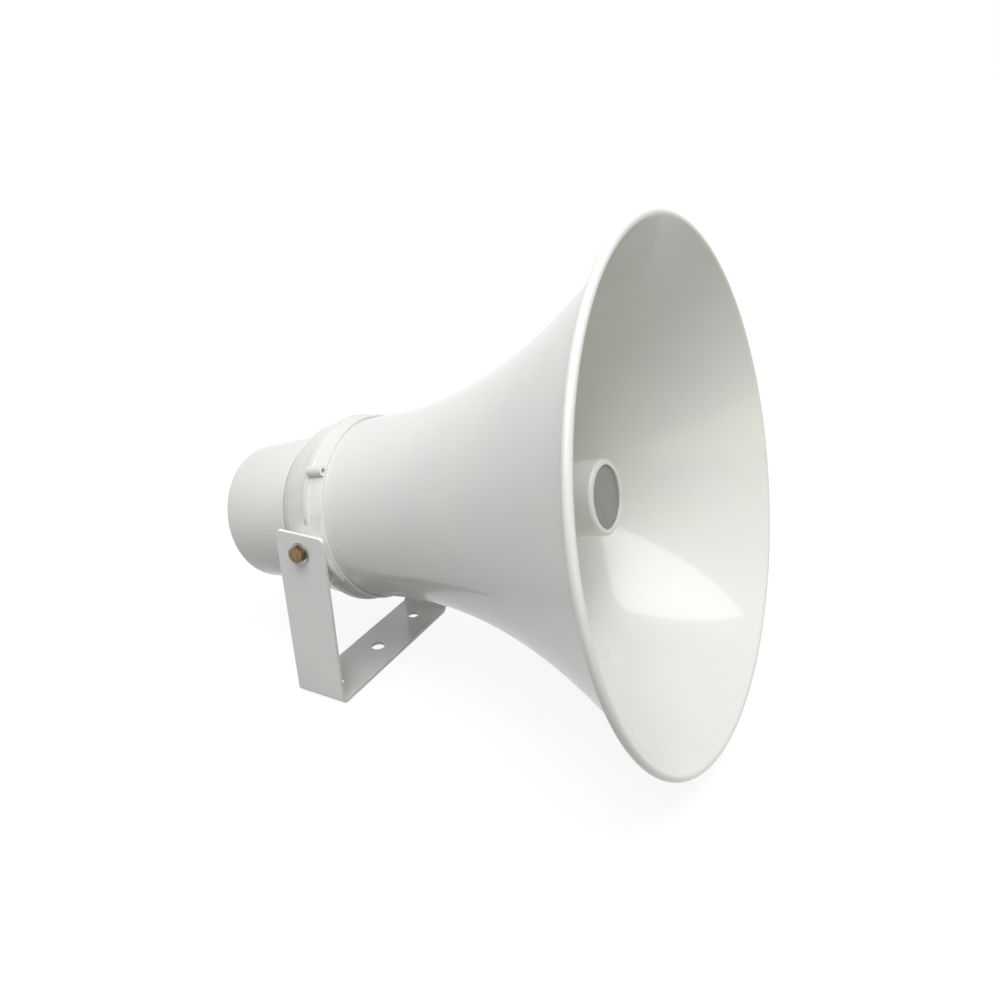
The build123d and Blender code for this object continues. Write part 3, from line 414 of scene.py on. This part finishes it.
# %% [markdown]
# The roll starts where the flare ends and turns three quarters of a circle outwards and back.
# The outline runs up the outer face, round the roll's inside, back round its outside and down the
# inner face to the neck flange.

# %% The bell
ROLL_TURN = 270.0
start_angle = 180.0 - math.degrees(mouth_tilt)
roll_out = arc(roll_centre, ROLL_RADIUS, start_angle, start_angle - ROLL_TURN, 40)
roll_in = arc(roll_centre, ROLL_RADIUS - SHEET, start_angle, start_angle - ROLL_TURN, 28)
bend_centre = (NECK_RADIUS - BEND, FLANGE_FACE + BEND)
outer_bend = arc(bend_centre, BEND, -90, 0, 8)[:-1]
inner_bend = arc(bend_centre, BEND - SHEET, -90, 0, 6)[:-1]
flange = np.array([[FLANGE_INNER, FLANGE_FACE + SHEET], [FLANGE_INNER, FLANGE_FACE]])
bell_outline = np.vstack(
    [
        outer_bend,
        outer_face,
        roll_in[1:],
        roll_out[::-1],
        inner_face[::-1][1:],
        inner_bend[::-1],
        flange,
    ]
)
bell = turned_piece("bell_sheet", bell_outline, BELL_AROUND)
dress(bell, bell_paint, "bell", "horn")

# %% [markdown]
# The reflector is a second, smaller horn inside the bell, open to the rear. Only its front end
# shows in the mouth, as a round boss with a soft edge and a shallow seat for a plain disc. The
# wall is turned as the bell's is. Its three fixing tabs are too small and too far in to show their
# facets, so they come from the solid, two cells further on.

# %% The reflector's wall
BOSS_RADIUS, BOSS_FRONT, BOSS_EDGE = 29.5, 241.0, 3.0
SEAT_RADIUS, SEAT_DEPTH, SEAT_EDGE, SEAT_FLOOR = 24.6, 3.0, 0.5, 2.5
CUP_REAR_RADIUS, CUP_REAR, CUP_NECK, CUP_WALL = 52.0, 38.0, 195.0, 2.2


def reflector_face(inwards, steps=60):
    """The flare boss + spread * share squared, where share falls from the rear to the neck."""
    along = np.linspace(CUP_REAR, CUP_NECK, steps)
    share = (CUP_NECK - along) / (CUP_NECK - CUP_REAR)
    radius = BOSS_RADIUS + (CUP_REAR_RADIUS - BOSS_RADIUS) * share**2 - inwards
    return np.column_stack([radius, along])


turn_radius = (BOSS_RADIUS - CUP_WALL) / 2
turn_low = BOSS_FRONT - SEAT_DEPTH - SEAT_FLOOR - turn_radius
reflector_outline = np.vstack(
    [
        reflector_face(0.0),
        arc((BOSS_RADIUS - BOSS_EDGE, BOSS_FRONT - BOSS_EDGE), BOSS_EDGE, 0, 90, 12),
        arc((SEAT_RADIUS + SEAT_EDGE, BOSS_FRONT - SEAT_EDGE), SEAT_EDGE, 90, 180, 5),
        [[SEAT_RADIUS, BOSS_FRONT - SEAT_DEPTH], [0.0, BOSS_FRONT - SEAT_DEPTH]],
        arc((turn_radius, turn_low), turn_radius, 180, 0, 24),
        reflector_face(CUP_WALL)[::-1],
    ]
)
reflector = turned_piece("reflector_wall", reflector_outline, REFLECTOR_AROUND)

# %% [markdown]
# Castings and folded sheet have flats, holes and gussets that no turned profile gives. For these
# the solid's own shape is right, and only its shading needs care: a merged copy is shaded
# smoothly over its curved faces and kept crisp at its true edges, then a narrow bevel, given in
# metres, lets the paint's edges catch the light, because paint never comes to a knife edge.

# %% Smooth copies of the solids
COPY_SHARP_ANGLE, BEVEL_ANGLE = 28.0, 40.0
PAINTED_EDGE, FIXING_EDGE, WASHER_EDGE, SCREW_EDGE = 0.0004, 0.0003, 0.0002, 0.0001


def bare_copy(node):
    """A copy of a solid's mesh with no finish, its triangles still loose."""
    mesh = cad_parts[node].data.copy()
    mesh.name = node + "_surface"
    mesh.materials.clear()
    return mesh


def smooth_copy(node, body, finish, edge=0.0):
    """Adds a copy of a solid, smooth over its curved faces, with softened edges if asked for."""
    piece = finished(node + "_surface", bare_copy(node), COPY_SHARP_ANGLE)
    if edge:
        bevel = piece.modifiers.new("soft edges", "BEVEL")
        bevel.width = edge
        bevel.segments = 2
        bevel.limit_method = "ANGLE"
        bevel.angle_limit = math.radians(BEVEL_ANGLE)
        bevel.harden_normals = True
    dress(piece, finish, node, body)


smooth_copy("base_casting", "horn", casting_paint, PAINTED_EDGE)
smooth_copy("u_bracket", "bracket", bracket_paint, PAINTED_EDGE)

# %% [markdown]
# The reflector's tabs come from its solid: every face of it within the tabs' reach is kept. They
# are a second piece that replaces the same solid as the turned wall.

# %% Tabs of the reflector
TAB_TOP, TAB_MARGIN, WALL_MARGIN = 41.0, 0.2, 0.6


def tab_part(node):
    """The faces of a solid that lie outside the cup's wall and below the tabs' top."""
    mesh = bare_copy(node)
    work = bmesh.new()
    work.from_mesh(mesh)
    centres = np.array([face.calc_center_median()[:] for face in work.faces]) * 1000 - AXIS_START
    along = centres @ FORWARD
    radius = np.hypot(centres @ SIDEWAYS, centres @ UPWARD)
    keep = (along < TAB_TOP + TAB_MARGIN) & (radius > CUP_REAR_RADIUS - WALL_MARGIN)
    work.faces.ensure_lookup_table()
    spare = [work.faces[index] for index in np.flatnonzero(~keep)]
    bmesh.ops.delete(work, geom=spare, context="FACES")
    work.to_mesh(mesh)
    work.free()
    return finished("reflector_tabs", mesh, COPY_SHARP_ANGLE)


tabs = tab_part("reflector_cup")
for part in (reflector, tabs):
    dress(part, bell_paint, "reflector_cup", "horn")

# %% [markdown]
# The rear cover is drawn from sheet: a can that narrows a little towards a closed end with a
# large soft corner. A turned profile gives its even highlight.

# %% The rear cover
COVER_FRONT, COVER_REAR = -31.0, -109.0
COVER_FRONT_RADIUS, COVER_REAR_RADIUS = 67.0, 61.5
COVER_WALL, COVER_CORNER, COVER_EDGE, COVER_EDGE_END = 2.0, 8.0, 0.6, -4.0
cover_lean = math.atan((COVER_FRONT_RADIUS - COVER_REAR_RADIUS) / (COVER_FRONT - COVER_REAR))


def cover_corner(radius, corner, rear, steps=14):
    """The quarter round between the sloping side and the flat end."""
    reach = corner * math.tan((math.pi / 2 - cover_lean) / 2)
    centre = (radius - reach, rear + corner)
    return arc(centre, corner, -math.degrees(cover_lean), -90, steps)


inner_rear_radius = (
    COVER_FRONT_RADIUS
    - COVER_WALL
    - (COVER_FRONT_RADIUS - COVER_REAR_RADIUS)
    * (COVER_FRONT - COVER_REAR - COVER_WALL)
    / (COVER_FRONT - COVER_REAR)
)
front_edge = (COVER_FRONT_RADIUS - COVER_EDGE, COVER_FRONT - COVER_EDGE)
cover_outline = np.vstack(
    [
        arc(front_edge, COVER_EDGE, 90, COVER_EDGE_END, 5),
        cover_corner(COVER_REAR_RADIUS, COVER_CORNER, COVER_REAR),
        [[0.0, COVER_REAR], [0.0, COVER_REAR + COVER_WALL]],
        cover_corner(inner_rear_radius, COVER_CORNER - COVER_WALL, COVER_REAR + COVER_WALL)[::-1],
        [[COVER_FRONT_RADIUS - COVER_WALL, COVER_FRONT]],
    ]
)
cover = turned_piece("cover_can", cover_outline, COVER_AROUND)
dress(cover, casting_paint, "rear_cover", "horn")

# %% [markdown]
# The disc in the boss is a thin round plate with a dull, finely turned face and a softened edge.

# %% The boss disc
DISC_RADIUS, DISC_THICK, DISC_EDGE = 24.4, 1.3, 0.4
disc_low = BOSS_FRONT - SEAT_DEPTH
disc_outline = np.vstack(
    [
        [[0.0, disc_low], [DISC_RADIUS, disc_low]],
        arc((DISC_RADIUS - DISC_EDGE, disc_low + DISC_THICK - DISC_EDGE), DISC_EDGE, 0, 90, 5),
        [[0.0, disc_low + DISC_THICK]],
    ]
)
disc = turned_piece("boss_plate", disc_outline, DISC_AROUND)
dress(disc, disc_metal, "boss_disc", "horn")

# %% [markdown]
# The fixings, the gland and the tone tube get the smooth copy, most with soft edges, because a
# bolt head is read by the light on its chamfers. Every other piece keeps its solid. Each solid
# gets its finish in the table below, those that a piece has replaced too.

# %% Finishes of the other pieces
smooth_copy("pivot_bolts", "horn", zinc_yellow, FIXING_EDGE)
smooth_copy("pivot_washers", "horn", screw_steel, WASHER_EDGE)
smooth_copy("gland_body", "horn", gland_plastic, FIXING_EDGE)
smooth_copy("gland_cap", "horn", gland_plastic, FIXING_EDGE)
smooth_copy("cover_screws", "horn", screw_steel, SCREW_EDGE)
smooth_copy("bell_screws", "horn", screw_steel)
smooth_copy("cup_screws", "horn", screw_steel)
smooth_copy("throat_tube", "horn", bell_paint)

finish_of_node = {
    "bell_seal": pale_rubber,
    "driver_seal": seal_rubber,
    "cover_seal": pale_rubber,
    "gland_seal": seal_rubber,
    "driver_screws": screw_steel,
    "motor_screws": screw_steel,
    "holder_screws": screw_steel,
    "cover_posts": screw_steel,
    "cup_stays": screw_steel,
    "driver_plate": cast_alloy,
    "clamp_ring": cast_alloy,
    "top_plate": plated_steel,
    "yoke": plated_steel,
    "transformer_holder": plated_steel,
    "transformer_core": core_steel,
    "magnet": ferrite,
    "phase_plug": black_plastic,
    "surround": dome_film,
    "diaphragm": dome_film,
    "voice_coil": copper_wire,
    "transformer_winding": winding_tape,
    "terminal_strip": strip_plastic,
    "gland_nut": gland_plastic,
    "bell": bell_paint,
    "reflector_cup": bell_paint,
    "throat_tube": bell_paint,
    "rear_cover": casting_paint,
    "base_casting": casting_paint,
    "u_bracket": bracket_paint,
    "boss_disc": disc_metal,
    "pivot_bolts": zinc_yellow,
    "pivot_washers": screw_steel,
    "gland_body": gland_plastic,
    "gland_cap": gland_plastic,
    "cover_screws": screw_steel,
    "bell_screws": screw_steel,
    "cup_screws": screw_steel,
}
for node, finish in finish_of_node.items():
    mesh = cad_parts[node].data
    mesh.materials.clear()
    mesh.materials.append(finish)
print("nodes without a finish:", sorted(set(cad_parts) - set(finish_of_node)))

# %% [markdown]
# The floor is a plain sheet just under the bracket. A camera ray, a reflection or a ray through
# glass that meets it also sees a glow, which brings it near the white background while the shadow
# stays. The glow is a little weaker near the object and grows to full white with the distance, so
# that no edge shows. The world gives soft light from all round, and shows as white to those rays.

# %% Floor and world
FLOOR_REACH, FLOOR_LEVEL = 40.0, -0.0006
PAPER_LIGHT, PAPER_DARK = (0.18, 0.18, 0.18), (0.17, 0.17, 0.17)
NEAR_GLOW, FAR_GLOW = (0.88, 0.88, 0.88), (1.0, 1.0, 1.0)
GLOW_GROWS_FROM, GLOW_FULL_AT = 0.8, 2.5
WORLD_LIGHT, WORLD_SEEN = 0.29, 1.0

floor_mesh = bpy.data.meshes.new("floor")
corners = [(-1, -1), (1, -1), (1, 1), (-1, 1)]
floor_mesh.from_pydata(
    [(x * FLOOR_REACH, y * FLOOR_REACH, FLOOR_LEVEL) for x, y in corners],
    [],
    [(0, 1, 2, 3)],
)
floor = bpy.data.objects.new("floor", floor_mesh)
bpy.context.scene.collection.objects.link(floor)
floor_finish = Finish("floor_paper")
paper = floor_finish.noise(0.4, detail=2.0)
floor_finish.set(Base_Color=floor_finish.blend(paper, PAPER_LIGHT, PAPER_DARK))
floor_finish.set(Roughness=0.9, Specular_IOR_Level=0.1)
straight = floor_finish.node("ShaderNodeLightPath", {}, {}, "Is Camera Ray")
mirrored = floor_finish.node("ShaderNodeLightPath", {}, {}, "Is Glossy Ray")
through = floor_finish.node("ShaderNodeLightPath", {}, {}, "Is Transmission Ray")
away = floor_finish.node(
    "ShaderNodeVectorMath", {"operation": "LENGTH"}, {0: floor_finish.place}, "Value"
)
growth = floor_finish.ramp(away, GLOW_GROWS_FROM, GLOW_FULL_AT)
glow = floor_finish.blend(growth, NEAR_GLOW, FAR_GLOW)
glow = floor_finish.node(
    "ShaderNodeVectorMath",
    {"operation": "SCALE"},
    {0: glow, "Scale": straight + mirrored + through},
)
floor_finish.set(Emission_Color=glow, Emission_Strength=1.0)
floor_mesh.materials.append(floor_finish.material)

world = bpy.data.worlds.new("studio")
bpy.context.scene.world = world
world.use_nodes = True
studio = world.node_tree
background = studio.nodes["Background"]
background.inputs["Color"].default_value = (1.0, 1.0, 1.0, 1.0)
rays = studio.nodes.new("ShaderNodeLightPath")
looked = studio.nodes.new("ShaderNodeMath")
looked.operation = "MAXIMUM"
studio.links.new(rays.outputs["Is Camera Ray"], looked.inputs[0])
studio.links.new(rays.outputs["Is Transmission Ray"], looked.inputs[1])
seen = studio.nodes.new("ShaderNodeMath")
seen.operation = "MAXIMUM"
studio.links.new(looked.outputs[0], seen.inputs[0])
studio.links.new(rays.outputs["Is Glossy Ray"], seen.inputs[1])
level = studio.nodes.new("ShaderNodeMapRange")
level.inputs["To Min"].default_value = WORLD_LIGHT
level.inputs["To Max"].default_value = WORLD_SEEN
studio.links.new(seen.outputs[0], level.inputs["Value"])
studio.links.new(level.outputs["Result"], background.inputs["Strength"])
print("floor and world ready")

# %% [markdown]
# The light in the picture comes mostly from above and a little from the camera's side: the tops
# of the bell and the cover are bright, their undersides fall off to a soft grey, and the lower
# inside of the bell, which faces up, is nearly white. A large lamp overhead gives that fall-off,
# and two smaller ones on the camera's side lie as soft windows in the gloss. A low, warm one
# stands for the light that the ground throws back.


# %% Lamps
AIM = (0.0, -0.1, 0.15)
WHITE, WARM = (1.0, 1.0, 1.0), (1.0, 0.95, 0.70)


def softbox(name, place, width, height, power, colour=WHITE):
    """A rectangular lamp at a place, turned towards the middle of the speaker."""
    data = bpy.data.lights.new(name, "AREA")
    data.shape = "RECTANGLE"
    data.size = width
    data.size_y = height
    data.energy = power
    data.color = colour
    lamp = bpy.data.objects.new(name, data)
    bpy.context.scene.collection.objects.link(lamp)
    back = np.array(place) - np.array(AIM)
    back /= np.linalg.norm(back)
    across = np.cross((0.0, 0.0, 1.0), back)
    across /= np.linalg.norm(across)
    pose = np.eye(4)
    pose[:3, 0], pose[:3, 1], pose[:3, 2] = across, np.cross(back, across), back
    pose[:3, 3] = place
    lamp.matrix_world = pose.T
    print(name, "power", power)


softbox("overhead", (-0.30, -0.75, 1.95), width=2.0, height=1.2, power=29.0)
softbox("window", (-1.15, -0.35, 1.45), width=0.9, height=0.9, power=6.0)
softbox("skylight", (-0.85, 0.10, 1.75), width=0.25, height=0.9, power=4.0)
softbox("ground_bounce", (-0.5, -1.5, 0.12), width=1.6, height=0.5, power=2.8, colour=WARM)
